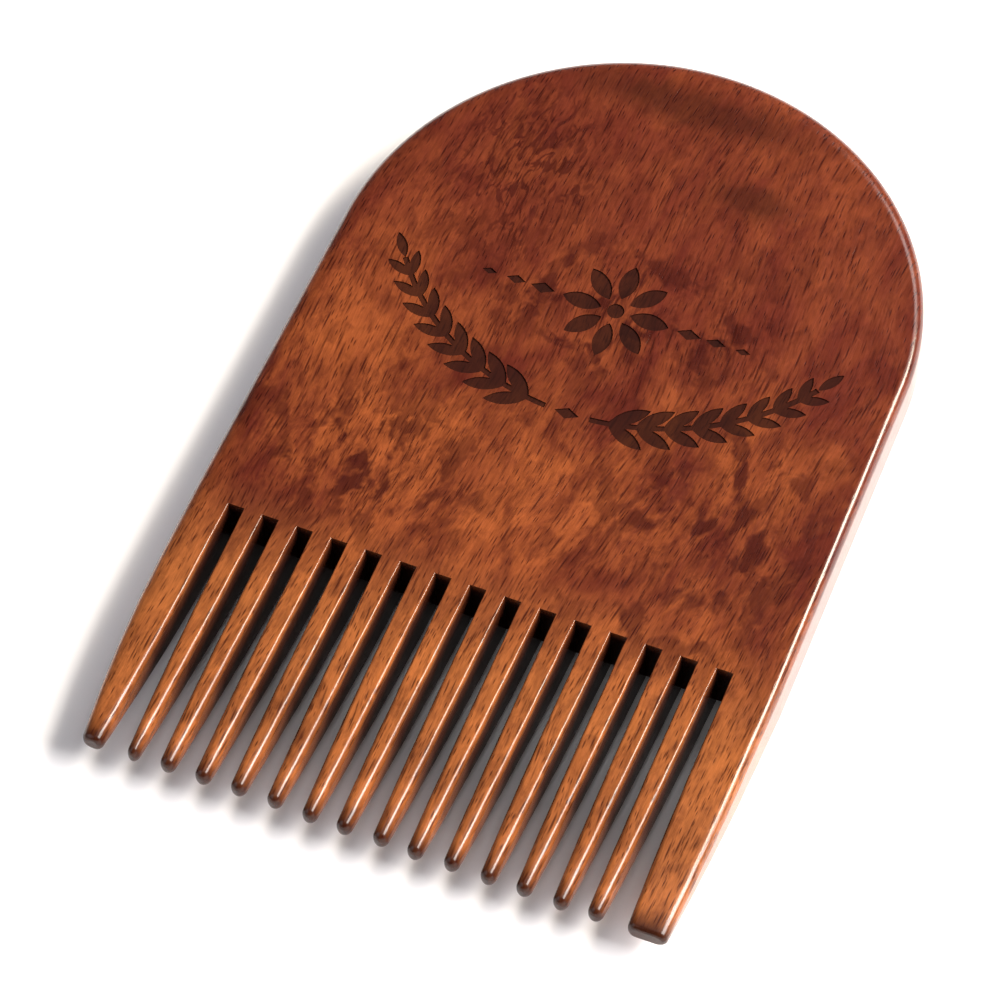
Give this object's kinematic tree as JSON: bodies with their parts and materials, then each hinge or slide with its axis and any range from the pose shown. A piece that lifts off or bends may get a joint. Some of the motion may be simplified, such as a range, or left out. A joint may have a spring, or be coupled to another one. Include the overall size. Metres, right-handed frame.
{
  "type": "beard comb",
  "caption": "Flat wooden hand comb with an arched top, rounded edges, a row of tapering teeth between two wider end teeth, and an engraved leaf ornament on the front.",
  "frame": {"origin": "middle of the comb's outline, on the plane of the back face that the comb lies on", "axes": "+X across the comb, +Y from the tips of the teeth towards the arched top, +Z out of the front face"},
  "size_m": [0.071, 0.1094, 0.007],
  "materials": {
    "wood": "oiled and polished red-brown hardwood, satin gloss, engraving burnt dark brown"
  },
  "bodies": {
    "root": {"board": "wood", "end_tooth_left": "wood", "end_tooth_right": "wood", "tooth_01": "wood", "tooth_02": "wood", "tooth_03": "wood", "tooth_04": "wood", "tooth_05": "wood", "tooth_06": "wood", "tooth_07": "wood", "tooth_08": "wood", "tooth_09": "wood", "tooth_10": "wood", "tooth_11": "wood", "tooth_12": "wood", "tooth_13": "wood", "tooth_14": "wood"}
  },
  "joints": []
}
